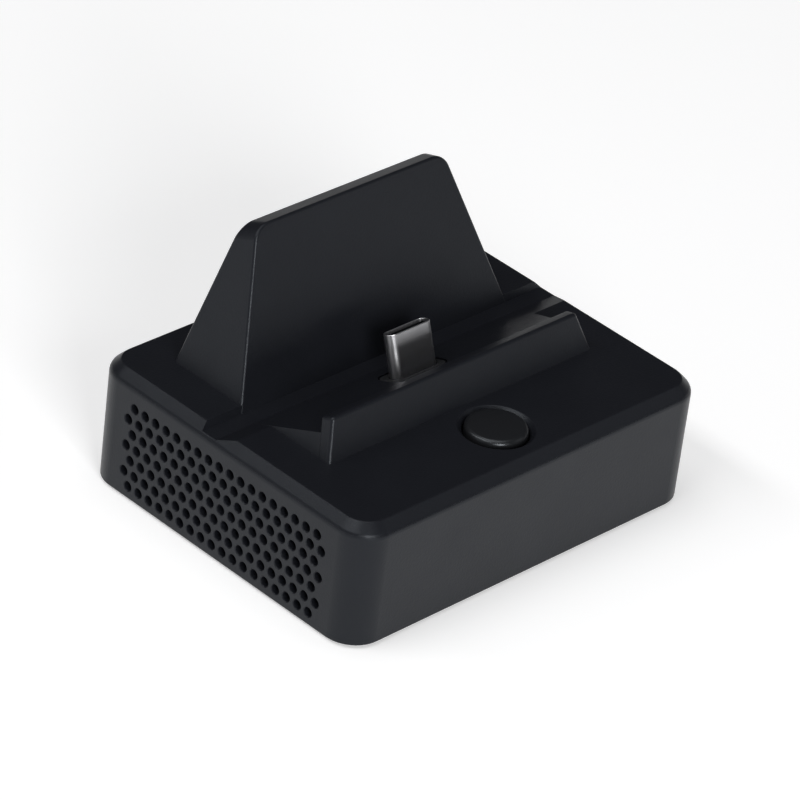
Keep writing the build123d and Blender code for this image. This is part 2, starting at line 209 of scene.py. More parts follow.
def rectangle(width, depth, x=0.0, y=0.0):
    """The corners of a rectangle about a middle point, drawn anticlockwise."""
    right = x + width / 2
    left = x - width / 2
    back = y + depth / 2
    front = y - depth / 2
    return [(left, front), (right, front), (right, back), (left, back)]


def skin(shape, loops, ring=False):
    """Skins a row of loops: as a closed ring, or with a cap at each end."""
    rows = [[shape.verts.new(point) for point in loop] for loop in loops]
    pairs = list(zip(rows, rows[1:]))
    if ring:
        pairs.append((rows[-1], rows[0]))
    count = len(rows[0])
    for low, high in pairs:
        for near in range(count):
            far = (near + 1) % count
            shape.faces.new((low[near], low[far], high[far], high[near]))
    if not ring:
        shape.faces.new(list(reversed(rows[0])))
        shape.faces.new(rows[-1])


def to_object(name, shape, material=None):
    """Turns a bmesh into an object, with its faces pointing outwards."""
    bmesh.ops.recalc_face_normals(shape, faces=shape.faces)
    mesh = bpy.data.meshes.new(name)
    shape.to_mesh(mesh)
    shape.free()
    if material:
        mesh.materials.append(material)
    made = bpy.data.objects.new(name, mesh)
    bpy.context.scene.collection.objects.link(made)
    return made


def settle(made):
    """Replaces an object's mesh by what its modifiers make of it, and removes them."""
    graph = bpy.context.evaluated_depsgraph_get()
    mesh = bpy.data.meshes.new_from_object(made.evaluated_get(graph), depsgraph=graph)
    made.modifiers.clear()
    made.data = mesh


def smooth(made, sharp_angle):
    """Smooth shading up to an angle in degrees, with the normals led by the large faces."""
    made.data.shade_smooth()
    made.data.set_sharp_from_angle(angle=math.radians(sharp_angle))
    weighted = made.modifiers.new("weighted", "WEIGHTED_NORMAL")
    weighted.keep_sharp = True
    settle(made)


def rubber_tone(tree):
    return blend_colours(tree, noise(tree, size=1.5 * MM), rubber_dark, rubber_light)


def rubber_gloss(tree):
    return rubber_roughness + swing(tree, size=0.6 * MM, amount=0.2)


def rubber_ribs(tree):
    return noise(tree, size=0.35 * MM, stretch=rib_stretch)


foot_rubber = surface("foot_rubber", rubber_tone, rubber_gloss, rubber_ribs, depth=0.05 * MM)
for foot_node in ("foot_front_left", "foot_rear_left", "foot_front_right", "foot_rear_right"):
    low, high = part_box(foot_node)
    middle = ((low[0] + high[0]) / 2, (low[1] + high[1]) / 2)
    foot_section = [
        (foot_edge, low[2]),
        (edge_middle * foot_edge, low[2] + edge_middle * foot_edge),
        (0, low[2] + foot_edge),
        (0, high[2]),
    ]
    loops = []
    for inset, z in foot_section:
        sides = rectangle(high[0] - low[0] - 2 * inset, high[1] - low[1] - 2 * inset, *middle)
        loops.append([(x, y, z) for x, y in rounded(sides, foot_corner - inset, foot_corner_steps)])
    shape = bmesh.new()
    skin(shape, loops)
    foot = to_object(foot_node + "_pad", shape, foot_rubber)
    smooth(foot, foot_sharp_angle)
    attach(foot, "dock")
    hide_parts(foot_node)

# Boards: glass laminate with green solder mask over copper tracks. The large one lies on ribs of
# the base plate, and the small tilted one under the cradle is staked to the top cover.
mask_green = (0.008, 0.045, 0.02, 1)
track_green = (0.02, 0.1, 0.045, 1)
track_cell = 2.4 * MM
track_inner = 0.4286
track_outer = 0.6
track_share = 0.8
board_roughness = 0.3


def board_tone(tree):
    """Tracks are rings round the middles of cells, under a slightly cloudy mask."""
    place = Field.node(tree, "ShaderNodeTexCoord", output="Object")
    cells = Field.node(tree, "ShaderNodeTexVoronoi", {"distance": "MANHATTAN", "feature": "F1"},
                       {"Vector": place, "Scale": 1 / track_cell}, output="Distance")
    tracks = cells.above(track_inner) * (1 - cells.above(track_outer))
    clouds = noise(tree, size=3 * MM)
    amount = tracks * track_share + clouds * (1 - track_share)
    return blend_colours(tree, amount, mask_green, track_green)


def board_gloss(tree):
    return board_roughness + swing(tree, size=2 * MM, amount=0.15)


board_laminate = surface("board_laminate", board_tone, board_gloss, Specular_IOR_Level=0.5)
dress("main_board", board_laminate)
dress("plug_board", board_laminate)

# Chips, choke and capacitors: black resin cases and small ceramic blocks, soldered to the board.
# The resin is matt with a faint speckle, and the ceramic is a warm grey-brown.
resin_black = (0.014, 0.014, 0.015)
ceramic_brown = (0.23, 0.16, 0.1)
chip_resin = moulded_finish(
    "chip_resin", resin_black, roughness=0.6, grain=0.15 * MM, depth=0.01 * MM, specular=0.4)
capacitor_ceramic = moulded_finish(
    "capacitor_ceramic", ceramic_brown, roughness=0.45, grain=0.2 * MM, depth=0.01 * MM, specular=0.5)
for chip_node in ("video_chip", "hub_chip", "power_chip", "power_inductor"):
    dress(chip_node, chip_resin)
dress("capacitors", capacitor_ceramic)

# Flat cable and its sockets: tinned strips between two films, and white nylon sockets.
# The cable folds from the small board down to the large one.
nylon_white = (0.62, 0.6, 0.55)
strip_silver = (0.6, 0.62, 0.66, 1)
film_grey = (0.3, 0.31, 0.33, 1)
cable_strip = 0.5 * MM
cable_roughness = 0.35

# The width of one band of a wave texture whose scale is 1
wave_band = 0.314


def cable_tone(tree):
    place = Field.node(tree, "ShaderNodeTexCoord", output="Object")
    stripes = Field.node(tree, "ShaderNodeTexWave", {"wave_type": "BANDS", "bands_direction": "X"},
                         {"Vector": place, "Scale": wave_band / cable_strip}, output="Fac")
    return blend_colours(tree, stripes, strip_silver, film_grey)


def cable_gloss(tree):
    return cable_roughness + swing(tree, size=1 * MM, amount=0.1)


socket_nylon = moulded_finish(
    "socket_nylon", nylon_white, roughness=0.5, grain=0.2 * MM, depth=0.01 * MM, specular=0.5)
dress("upper_cable_socket", socket_nylon)
dress("lower_cable_socket", socket_nylon)
dress("flat_cable", surface("cable_film", cable_tone, cable_gloss, Specular_IOR_Level=0.5))

# Rear sockets: tin-plated sheet-steel shells round black cores, soldered to the board's rear edge.
# Each core has a tongue with a row of gold-plated contacts on its faces.
core_block = 3.5 * MM
contact_length_share = 0.8
contact_thickness = 0.08 * MM
tin_dark = (0.5, 0.5, 0.52, 1)
tin_light = (0.64, 0.64, 0.65, 1)
tin_roughness = 0.31
gold_dark = (0.78, 0.53, 0.2, 1)
gold_light = (0.9, 0.66, 0.3, 1)
gold_roughness = 0.33
core_black = (0.011, 0.011, 0.012)


def plated_tone(tree):
    return blend_colours(tree, noise(tree, size=4 * MM), tin_dark, tin_light)


def plated_gloss(tree):
    return tin_roughness + swing(tree, size=0.5 * MM, amount=0.06, stretch=(1.0, 1.0, 0.12))


def plated_lines(tree):
    return noise(tree, size=0.25 * MM, stretch=(1.0, 1.0, 0.08))


def gold_tone(tree):
    return blend_colours(tree, noise(tree, size=0.8 * MM), gold_dark, gold_light)


def gold_gloss(tree):
    return gold_roughness + swing(tree, size=0.4 * MM, amount=0.1)


def geometry_tree(name, input_types):
    """A Geometry Nodes tree, its named inputs as fields, and the identifiers of these inputs."""
    tree = bpy.data.node_groups.new(name, "GeometryNodeTree")
    tree.interface.new_socket("Geometry", in_out="OUTPUT", socket_type="NodeSocketGeometry")
    identifiers = {}
    for input_name, kind in input_types.items():
        made = tree.interface.new_socket(input_name, in_out="INPUT", socket_type="NodeSocket" + kind)
        identifiers[input_name] = made.identifier
    given = tree.nodes.new("NodeGroupInput")
    fields = {input_name: Field(tree, given.outputs[input_name]) for input_name in input_types}
    return tree, fields, identifiers


def close_tree(tree, geometry, material):
    """Ends a tree: its geometry gets the material and is handed out."""
    inputs = {"Geometry": geometry, "Material": material}
    dressed = Field.node(tree, "GeometryNodeSetMaterial", None, inputs)
    tree.links.new(dressed.socket, tree.nodes.new("NodeGroupOutput").inputs["Geometry"])


def run_tree(made, tree, identifiers, values):
    """Runs a tree on an object with the given inputs, and keeps the result as its plain mesh."""
    change = made.modifiers.new(tree.name, "NODES")
    change.node_group = tree
    for input_name, value in values.items():
        change[identifiers[input_name]] = value
    settle(made)


socket_steel = surface(
    "socket_steel", plated_tone, plated_gloss, plated_lines, depth=0.0006 * MM, Metallic=1.0)
contact_gold = surface("contact_gold", gold_tone, gold_gloss, Metallic=1.0)
core_plastic = moulded_finish(
    "core_plastic", core_black, roughness=0.45, grain=0.2 * MM, depth=0.01 * MM, specular=0.5)
contact_tree, contact_fields, contact_inputs = geometry_tree("tongue contacts", {
    "Count": "Int", "Start": "Vector", "Step": "Vector", "Strip": "Vector", "Material": "Material",
})
row = Field.node(contact_tree, "GeometryNodeMeshLine", {"mode": "OFFSET", "count_mode": "TOTAL"}, {
    "Count": contact_fields["Count"],
    "Start Location": contact_fields["Start"],
    "Offset": contact_fields["Step"],
})
strip = Field.node(contact_tree, "GeometryNodeMeshCube", None, {"Size": contact_fields["Strip"]})
strips = Field.node(contact_tree, "GeometryNodeInstanceOnPoints", None, {
    "Points": row, "Instance": strip,
})
strips = Field.node(contact_tree, "GeometryNodeRealizeInstances", None, {"Geometry": strips})
close_tree(contact_tree, strips, contact_fields["Material"])

# Socket, contacts on one face, their pitch and width, tongue thickness, and faces used
for socket, count, pitch, width, tongue, faces in (
    ("power_socket", 12, 0.5 * MM, 0.26 * MM, 0.7 * MM, (-1, 1)),
    ("video_socket", 10, 1.0 * MM, 0.45 * MM, 1.2 * MM, (-1, 1)),
    ("data_socket", 4, 2.4 * MM, 1.0 * MM, 1.8 * MM, (-1,)),
):
    dress(socket + "_shell", socket_steel)
    dress(socket + "_core", core_plastic)
    low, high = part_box(socket + "_core")
    middle_x = (low[0] + high[0]) / 2
    middle_z = (low[2] + high[2]) / 2
    tongue_back = low[1] + core_block
    length = contact_length_share * (high[1] - tongue_back)
    first_x = middle_x - pitch * (count - 1) / 2
    for face in faces:
        side = "upper" if face > 0 else "lower"
        contacts = to_object(f"{socket}_{side}_contacts", bmesh.new())
        run_tree(contacts, contact_tree, contact_inputs, {
            "Count": count,
            "Start": (first_x, tongue_back + length / 2, middle_z + face * tongue / 2),
            "Step": (pitch, 0, 0),
            "Strip": (width, length, contact_thickness),
            "Material": contact_gold,
        })
        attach(contacts, "dock")

# Walls: one ring moulding with rounded corners, its two side walls pierced by rows of small round
# holes that let warm air out. The holes have a slight flare outside, where the mould's pins enter.
wall = 2.0 * MM
corner_radius = 5.0 * MM
corner_steps = 12
wall_edge = 0.22 * MM
edge_steps = 6
blunt_radius = 1.4 * MM
chamfer_turn = math.radians(45)
seam_depth = 0.025 * MM
seam_half = math.radians(1)
rebate_inset = 1.2 * MM
rebate_height = 1.2 * MM
walls_sharp_angle = 32
walls_low, walls_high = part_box("vented_body")
body_width = walls_high[0] - walls_low[0]
body_depth = walls_high[1] - walls_low[1]
half_width = body_width / 2


def body_loop(inset, z):
    """The box's rounded outline, moved inwards, at one height."""
    sides = rectangle(body_width - 2 * inset, body_depth - 2 * inset)
    return [(x, y, z) for x, y in rounded(sides, corner_radius - inset, corner_steps)]


def arc(centre, radius, start, end, steps):
    """Insets and heights along a rounded edge, whose slope turns from upright (0) towards level."""
    turns = [start + (end - start) * step / steps for step in range(steps + 1)]
    return [(centre[0] - radius * math.cos(turn), centre[1] + radius * math.sin(turn)) for turn in turns]


# The edge between wall and chamfer is blunt, and the fine seam under the top cover divides it
seam_z = walls_high[2]
blunt_centre = (blunt_radius, seam_z - blunt_radius * math.tan(chamfer_turn / 2))
seam_turn = math.asin(math.tan(chamfer_turn / 2))
seam_inset = blunt_radius * (1 - math.cos(seam_turn)) + seam_depth
wall_section = [
    *arc((wall_edge, walls_low[2] + wall_edge), wall_edge, -math.pi / 2, 0, edge_steps),
    *arc(blunt_centre, blunt_radius, 0, seam_turn - seam_half, edge_steps),
    (seam_inset, seam_z),
    (wall, seam_z),
    (wall, walls_low[2] + rebate_height),
    (rebate_inset, walls_low[2] + rebate_height),
    (rebate_inset, walls_low[2]),
]
shape = bmesh.new()
skin(shape, [body_loop(inset, z) for inset, z in wall_section], ring=True)
walls = to_object("perforated_walls", shape)

# One long pin goes through both side walls
hole_radius = 0.75 * MM
hole_flare = 0.12 * MM
hole_sides = 24
flare_reach = 0.4 * MM
hole_turns = [2 * math.pi * side / hole_sides for side in range(hole_sides)]
pin_section = [
    (-half_width - flare_reach, hole_radius + hole_flare + flare_reach),
    (-half_width + hole_flare, hole_radius),
    (half_width - hole_flare, hole_radius),
    (half_width + flare_reach, hole_radius + hole_flare + flare_reach),
]
loops = []
for x, radius in pin_section:
    loops.append([(x, radius * math.cos(turn), radius * math.sin(turn)) for turn in hole_turns])
shape = bmesh.new()
skin(shape, loops)
hole_pin = to_object("hole_pin", shape)

# Openings for the rear sockets and recesses for the base plate's hooks
opening_gap = 0.3 * MM
opening_corner = 0.3 * MM
opening_corner_steps = 8
video_taper_x = 1.9 * MM
video_taper_z = 2.2 * MM
hook_width = 5.3 * MM
hook_inset = 8.0 * MM
hook_recess = 0.65 * MM
hook_low = 4.15 * MM
hook_high = 5.45 * MM

# How far a cutter goes past what it cuts
cutter_reach = 1.0 * MM

# A round end's radius as a share of its width, just short of half so that its arcs don't meet
round_end = 0.499

opening_depths = (walls_high[1] + cutter_reach, walls_high[1] - wall - cutter_reach)
shape = bmesh.new()
for socket in ("power_socket_shell", "video_socket_shell", "data_socket_shell"):
    low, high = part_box(socket)
    middle_x = (low[0] + high[0]) / 2
    middle_z = (low[2] + high[2]) / 2
    height = high[2] - low[2] + 2 * opening_gap
    sides = rectangle(high[0] - low[0] + 2 * opening_gap, height)
    corner = opening_corner
    if socket == "power_socket_shell":
        corner = round_end * height
    if socket == "video_socket_shell":
        (left, bottom), (right, _), (_, top), _ = sides
        sides = [
            (left + video_taper_x, bottom), (right - video_taper_x, bottom),
            (right, bottom + video_taper_z), (right, top), (left, top), (left, bottom + video_taper_z),
        ]
    outline = rounded(sides, corner, opening_corner_steps)
    skin(shape, [[(middle_x + x, y, middle_z + z) for x, z in outline] for y in opening_depths])
for side_x in (-1, 1):
    for side_y in (-1, 1):
        middle = (side_x * (half_width - hook_inset), side_y * (body_depth / 2 - wall))
        sides = rectangle(hook_width, 2 * hook_recess, *middle)
        skin(shape, [[(x, y, z) for x, y in sides] for z in (hook_low, hook_high)])
wall_openings = to_object("wall_openings", shape)

# The grille: long rows of holes, with shorter rows staggered between, above and below them
hole_columns = 19
long_row_count = 3
hole_pitch = 2.2 * MM
row_pitch = 2.16 * MM
grille_middle_z = 8.93 * MM
grille_tree, grille_fields, grille_inputs = geometry_tree("side grille", {
    "Geometry": "Geometry", "Columns": "Int", "Long Rows": "Int", "Pitch": "Float", "Row Pitch": "Float",
    "Middle": "Vector", "Pin": "Object", "Openings": "Object", "Material": "Material",
})


def hole_rows(columns, rows):
    """Points in a field of evenly spaced rows, every second row of the staggered pattern."""
    return Field.node(grille_tree, "GeometryNodeMeshGrid", None, {
        "Size X": (columns - 1) * grille_fields["Pitch"],
        "Size Y": (rows - 1) * grille_fields["Row Pitch"] * 2,
        "Vertices X": columns,
        "Vertices Y": rows,
    })


def mesh_of(held):
    """The mesh of an object that the tree is given."""
    return Field.node(grille_tree, "GeometryNodeObjectInfo", None, {"Object": held}, output="Geometry")


long_rows = hole_rows(grille_fields["Columns"], grille_fields["Long Rows"])
short_rows = hole_rows(grille_fields["Columns"] - 1, grille_fields["Long Rows"] + 1)
holes = Field.node(grille_tree, "GeometryNodeJoinGeometry", None, {"Geometry": [long_rows, short_rows]})
holes = Field.node(grille_tree, "GeometryNodeTransform", None, {
    "Geometry": holes,
    "Translation": grille_fields["Middle"],
    "Rotation": (math.pi / 2, 0, math.pi / 2),
})
pin = mesh_of(grille_fields["Pin"])
openings = mesh_of(grille_fields["Openings"])
pins = Field.node(grille_tree, "GeometryNodeInstanceOnPoints", None, {"Points": holes, "Instance": pin})
pins = Field.node(grille_tree, "GeometryNodeRealizeInstances", None, {"Geometry": pins})
pierce_settings = {"operation": "DIFFERENCE", "solver": "EXACT"}
pierced = Field.node(grille_tree, "GeometryNodeMeshBoolean", pierce_settings, {
    "Mesh 1": grille_fields["Geometry"], "Mesh 2": [pins, openings],
})
close_tree(grille_tree, pierced, grille_fields["Material"])
run_tree(walls, grille_tree, grille_inputs, {
    "Columns": hole_columns,
    "Long Rows": long_row_count,
    "Pitch": hole_pitch,
    "Row Pitch": row_pitch,
    "Middle": (0, 0, grille_middle_z),
    "Pin": hole_pin,
    "Openings": wall_openings,
    "Material": housing_plastic,
})
bpy.data.objects.remove(hole_pin)
bpy.data.objects.remove(wall_openings)
smooth(walls, walls_sharp_angle)
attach(walls, "dock")
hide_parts("vented_body")

# Top cover: deck with a chamfered rim, a lip in front, a sloping floor, and a backrest, in one
# moulding. A groove runs right across at the foot of the backrest. It is welded onto the walls.
deck_top = 20.0 * MM
deck_under = 17.6 * MM
register_gap = 0.15 * MM
rim_round = 0.34 * MM
soft_steps = 4
lean = math.radians(20)
lip_setback = 15.5 * MM
lip_height = 6.2 * MM
lip_thickness = 2.3 * MM
lip_edge = 0.5 * MM
slot_width = 14.5 * MM
floor_height = 4.0 * MM
floor_thickness = 2.0 * MM
groove_depth = 1.1 * MM
rest_height = 30.0 * MM
rest_top = 3.2 * MM
rest_foot = 14.0 * MM
rest_roof = 6.0 * MM
rest_corner = 3.0 * MM
rest_corner_steps = 10
rest_edge = 0.4 * MM
cradle_half = 26.0 * MM
end_slope = math.radians(19)
root_rise = 0.8 * MM
cover_sharp_angle = 19

# Faces of two joined shapes that would coincide are kept this far apart
joint_step = 0.04 * MM

# Edges of a block that turn by more than this angle, in radians, are sharp
sharp_turn = 0.4

lip_y = walls_low[1] + lip_setback
rest_back = lip_thickness + slot_width
groove_z = deck_top - groove_depth
root_z = deck_under + root_rise
below_deck = deck_under - cutter_reach


def leaning(back, up):
    """Y and Z of a point given by its distances behind the lip's front face and up along the lean."""
    return (lip_y + back * math.cos(lean) + up * math.sin(lean),
            deck_top - back * math.sin(lean) + up * math.cos(lean))


def on_leaning_face(back, z):
    """Y and Z where the leaning face at a distance behind the lip's front reaches a height."""
    return leaning(back, (z - deck_top + back * math.sin(lean)) / math.cos(lean))


def on_floor_plane(up, z):
    """Y and Z where the plane along the cradle's floor, at a distance up the lean, reaches a height."""
    return leaning((deck_top + up * math.cos(lean) - z) / math.sin(lean), up)


def leaning_block(name, section, inset=0.0, ends=None):
    """A block with the given YZ section, between the cradle's sloping ends or at a fixed half width."""
    foot_half = cradle_half - inset / math.cos(end_slope)
    loops = []
    for side in (-1, 1):
        loop = []
        for y, z in section:
            half = ends or foot_half - (z - deck_top) * math.tan(end_slope)
            loop.append((side * half, y, z))
        loops.append(loop)
    shape = bmesh.new()
    skin(shape, loops)
    return to_object(name, shape)


def soften(made, width, steps, edges=None):
    """Rounds edges of a block: those that the test picks, or all sharp ones."""
    shape = bmesh.new()
    shape.from_mesh(made.data)
    picked = [edge for edge in shape.edges if edge.calc_face_angle(0) > sharp_turn]
    if edges:
        picked = [edge for edge in picked if edges(edge)]
    bmesh.ops.bevel(shape, geom=picked, offset=width, segments=steps, profile=0.5, affect="EDGES",
                    clamp_overlap=True)
    shape.to_mesh(made.data)
    shape.free()


def combine(made, tool, operation):
    """Joins a tool shape to a piece, or cuts it away."""
    change = made.modifiers.new("combine", "BOOLEAN")
    change.operation = operation
    change.solver = "EXACT"
    change.object = tool
    settle(made)
    bpy.data.objects.remove(tool)


rim = deck_top - seam_z
rim_centre = (rim + rim_round * math.tan(chamfer_turn / 2), deck_top - rim_round)
cover_section = [
    (wall + register_gap, deck_under),
    (wall + register_gap, seam_z),
    (seam_inset, seam_z),
    *arc(blunt_centre, blunt_radius, seam_turn + seam_half, chamfer_turn, edge_steps),
    *arc(rim_centre, rim_round, chamfer_turn, math.pi / 2, soft_steps),
]
shape = bmesh.new()
skin(shape, [body_loop(inset, z) for inset, z in cover_section])
cover = to_object("top_cover_shell", shape)

groove_back = rest_back + joint_step
above_groove = deck_top + groove_depth
groove = leaning_block("groove", [
    on_floor_plane(floor_height, above_groove), on_floor_plane(floor_height, groove_z),
    on_leaning_face(groove_back, groove_z), on_leaning_face(groove_back, above_groove),
], ends=body_width)
combine(cover, groove, "DIFFERENCE")

lip = leaning_block("lip", [
    on_leaning_face(0, root_z), on_leaning_face(lip_thickness, root_z),
    leaning(lip_thickness, lip_height), leaning(0, lip_height),
])
soften(lip, lip_edge, edge_steps)
combine(cover, lip, "UNION")

floor_top = floor_height + joint_step
floor_foot = on_floor_plane(floor_top, groove_z)
floor_block = leaning_block("cradle_floor", [
    on_leaning_face(lip_thickness / 2, root_z), (floor_foot[0], root_z), floor_foot,
    leaning(lip_thickness / 2, floor_top),
], inset=joint_step)
combine(cover, floor_block, "UNION")

rest_rear = on_leaning_face(rest_back, deck_top)[0] + rest_foot
rest_top_front = leaning(rest_back, rest_height)
rest_top_rear = leaning(rest_back + rest_top, rest_height)
backrest = leaning_block("backrest", [
    on_leaning_face(rest_back, root_z), (rest_rear, root_z), (rest_rear, deck_top),
    rest_top_rear, rest_top_front,
])


def top_corner(edge):
    """True for the edges across the backrest's thickness at its two upper corners."""
    ends = [vert.co for vert in edge.verts]
    return min(end.z for end in ends) > rest_top_rear[1] - rest_edge and ends[0].x * ends[1].x > 0


rest_corner_reach = rest_corner * math.tan((math.pi / 2 - end_slope) / 2)
soften(backrest, rest_corner_reach, rest_corner_steps, top_corner)
soften(backrest, rest_edge, edge_steps)
combine(cover, backrest, "UNION")

# Hollows of even wall under the backrest and under the cradle's floor
rest_inner = rest_back + wall
rest_inner_rear = rest_rear - wall
rest_hollow_top = rest_top_rear[1] - rest_roof
rest_run = (rest_rear - rest_top_rear[0]) / (rest_top_rear[1] - deck_top)
rest_hollow = leaning_block("rest_hollow", [
    on_leaning_face(rest_inner, below_deck), (rest_inner_rear, below_deck), (rest_inner_rear, deck_top),
    (rest_inner_rear - rest_run * (rest_hollow_top - deck_top), rest_hollow_top),
    on_leaning_face(rest_inner, rest_hollow_top),
], inset=wall)
combine(cover, rest_hollow, "DIFFERENCE")
floor_under = floor_height - floor_thickness
floor_hollow = leaning_block("floor_hollow", [
    on_leaning_face(lip_thickness, below_deck), on_floor_plane(floor_under, below_deck),
    leaning(lip_thickness, floor_under),
], inset=wall)
combine(cover, floor_hollow, "DIFFERENCE")

# Under the deck: a band that backs the groove, and two posts that hold the main board down
clamp_width = 2.0 * MM
clamp_depth = 6.0 * MM
clamp_inset = 6.0 * MM
clamp_x = half_width - wall - clamp_inset
board_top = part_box("main_board")[1][2]
band_front = on_floor_plane(floor_height, deck_top)[0]
band_back = on_leaning_face(rest_back, groove_z)[0] + wall
band_width = body_width - 2 * (wall + register_gap + joint_step)
band_under = groove_z - (deck_top - deck_under)


def upright_block(name, sides, low_z, high_z):
    """A straight-sided block between two heights."""
    shape = bmesh.new()
    skin(shape, [[(x, y, z) for x, y in sides] for z in (low_z, high_z)])
    return to_object(name, shape)


for sides, low_z in (
    (rectangle(band_width, band_back - band_front, 0, (band_front + band_back) / 2), band_under),
    (rectangle(clamp_width, clamp_depth, -clamp_x), board_top),
    (rectangle(clamp_width, clamp_depth, clamp_x), board_top),
):
    combine(cover, upright_block("under_deck", sides, low_z, deck_under + joint_step), "UNION")

# The round hole for the button, with a wide chamfer between two softened edges
button_low, button_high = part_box("button_cap")
button_y = (button_low[1] + button_high[1]) / 2
button_hole_radius = 4.85 * MM
button_hole_chamfer = 0.75 * MM
button_hole_soft = 0.3 * MM
button_hole_end_turn = math.radians(80)
button_hole_end_rise = 0.03 * MM
round_steps = 96
button_hole_rim = button_hole_radius + button_hole_chamfer
soft_reach = button_hole_soft * math.tan(chamfer_turn / 2)
lower_centre = (button_hole_radius + button_hole_soft, deck_top - button_hole_chamfer - soft_reach)
upper_centre = (button_hole_rim + soft_reach, deck_top - button_hole_soft)
button_hole_section = [
    (button_hole_radius, below_deck),
    *arc(lower_centre, button_hole_soft, 0, chamfer_turn, soft_steps),
    *arc(upper_centre, button_hole_soft, chamfer_turn, button_hole_end_turn, soft_steps),
    (button_hole_rim + button_hole_soft, deck_top + button_hole_end_rise),
]


def turned(section, y, steps):
    """Loops of a shape turned about an upright axis."""
    turns = [2 * math.pi * step / steps for step in range(steps)]
    loops = []
    for radius, z in section:
        loops.append([(radius * math.cos(turn), y + radius * math.sin(turn), z) for turn in turns])
    return loops


shape = bmesh.new()
skin(shape, turned(button_hole_section, button_y, round_steps))
combine(cover, to_object("button_hole", shape), "DIFFERENCE")

# The slanted hole for the plug's collar
collar_width = 10.8 * MM
collar_depth = 5.0 * MM
collar_corner = 1.6 * MM
collar_hole_low = -6 * MM
collar_hole_high = 3 * MM
plug_y, plug_z = leaning(lip_thickness + slot_width / 2, floor_height)
plug_frame = Matrix.Translation((0, plug_y, plug_z)) @ Matrix.Rotation(-lean, 4, "X")


def in_plug_frame(outline, z):
    """An outline at a height above the cradle's floor, along the plug's leaning axis."""
    return [plug_frame @ Vector((x, y, z)) for x, y in outline]


collar_outline = rounded(rectangle(collar_width, collar_depth), collar_corner, edge_steps)
shape = bmesh.new()
skin(shape, [in_plug_frame(collar_outline, z) for z in (collar_hole_low, collar_hole_high)])
combine(cover, to_object("collar_hole", shape), "DIFFERENCE")

# Two leaning posts with stakes, which carry the small board
board_drop = 5.2 * MM
post_x = 9.0 * MM
post_size = 3.6 * MM
stake_size = 1.6 * MM
stake_reach = 1.8 * MM
for post_side in (-1, 1):
    for size, low_z, high_z in (
        (post_size, -board_drop, -floor_thickness / 2),
        (stake_size, -board_drop - stake_reach, -board_drop + joint_step),
    ):
        sides = rectangle(size, size, post_side * post_x)
        shape = bmesh.new()
        skin(shape, [in_plug_frame(sides, z) for z in (low_z, high_z)])
        combine(cover, to_object("board_post", shape), "UNION")
cover.data.materials.clear()
cover.data.materials.append(housing_plastic)
smooth(cover, cover_sharp_angle)
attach(cover, "dock")
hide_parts("top_cover")

# Plug: a drawn stainless shell with a rolled mouth, round a black insert with gold contacts.
# A soft black collar fills the opening in the cradle's floor and lets the plug give a little.
plug_width = 8.25 * MM
plug_depth = 2.4 * MM
plug_wall = 0.3 * MM
plug_reach = 6.5 * MM
plug_foot = -board_drop
plug_corner_steps = 12
plug_sharp_angle = 60
mouth_round = 0.14 * MM
mouth_inner_round = 0.05 * MM
mouth_inner_dip = 0.02 * MM
mouth_inner_drop = 0.1 * MM
plug_section = [
    (0, plug_foot),
    (0, plug_reach - mouth_round),
    (edge_middle * mouth_round, plug_reach - edge_middle * mouth_round),
    (mouth_round, plug_reach),
    (plug_wall - mouth_inner_round, plug_reach - mouth_inner_dip),
    (plug_wall, plug_reach - mouth_inner_drop),
    (plug_wall, plug_foot),
]


def plug_loop(inset, z):
    """The plug's outline with round ends, moved inwards, at a height along its axis."""
    width = plug_width - 2 * inset
    depth = plug_depth - 2 * inset
    return in_plug_frame(rounded(rectangle(width, depth), round_end * depth, plug_corner_steps), z)


shape = bmesh.new()
skin(shape, [plug_loop(inset, z) for inset, z in plug_section], ring=True)
plug = to_object("plug_sleeve", shape, socket_steel)
smooth(plug, plug_sharp_angle)
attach(plug, "dock")
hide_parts("plug_shell")
dress("plug_insert", core_plastic)
dress("plug_contacts", contact_gold)

collar_black = (0.013, 0.013, 0.014)
collar_rubber = moulded_finish(
    "collar_rubber", collar_black, roughness=0.6, grain=0.2 * MM, depth=0.015 * MM, specular=0.35)
collar_fit = 0.2 * MM
collar_edge = 0.25 * MM
collar_bore = 0.02 * MM
collar_mouth = 0.3 * MM


def collar_loop(inset, z):
    """The collar's outer outline, moved inwards, at a height along the plug's axis."""
    gap = collar_fit + inset
    sides = rectangle(collar_width - 2 * gap, collar_depth - 2 * gap)
    return in_plug_frame(rounded(sides, collar_corner - gap, plug_corner_steps), z)


shape = bmesh.new()
skin(shape, [
    collar_loop(0, plug_foot),
    collar_loop(0, -collar_edge),
    collar_loop(edge_middle * collar_edge, -edge_middle * collar_edge),
    collar_loop(collar_edge, 0),
    plug_loop(-collar_mouth, 0),
    plug_loop(-collar_bore, -collar_mouth),
    plug_loop(-collar_bore, plug_foot),
], ring=True)
collar = to_object("plug_collar_ring", shape, collar_rubber)
smooth(collar, plug_sharp_angle)
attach(collar, "dock")
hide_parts("plug_collar")

